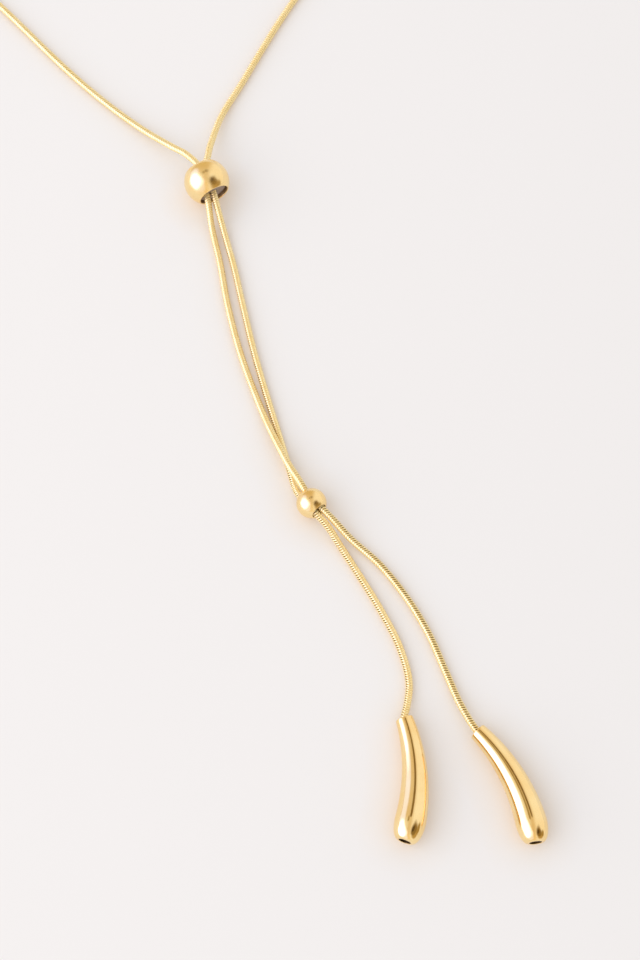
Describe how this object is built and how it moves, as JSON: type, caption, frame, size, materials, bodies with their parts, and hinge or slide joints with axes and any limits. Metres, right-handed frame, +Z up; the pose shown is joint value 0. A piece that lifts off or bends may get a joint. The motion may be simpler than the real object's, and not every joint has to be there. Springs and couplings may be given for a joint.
{
  "type": "lariat necklace",
  "caption": "Adjustable lariat necklace: a fine round snake chain in a neck loop, gathered by a slider bead and a stopper bead, with a bent tapered drop on each free end.",
  "frame": {"origin": "on the surface under the middle of the laid-out necklace, seen from above", "axes": "+Y from the drops towards the back of the neck loop, +Z up from the surface, +X to the right as seen in the picture"},
  "size_m": [0.1512, 0.3164, 0.008],
  "materials": {
    "polished_gold": "gold-plated brass, mirror polished",
    "chain_gold": "gold-plated brass, fine ribbed links",
    "grey_rubber": "smooth grey silicone rubber"
  },
  "bodies": {
    "root": {"chain": "chain_gold", "slider_bead": "polished_gold", "slider_core": "grey_rubber", "stopper_bead": "polished_gold", "drop_left": "polished_gold", "drop_right": "polished_gold"}
  },
  "joints": []
}
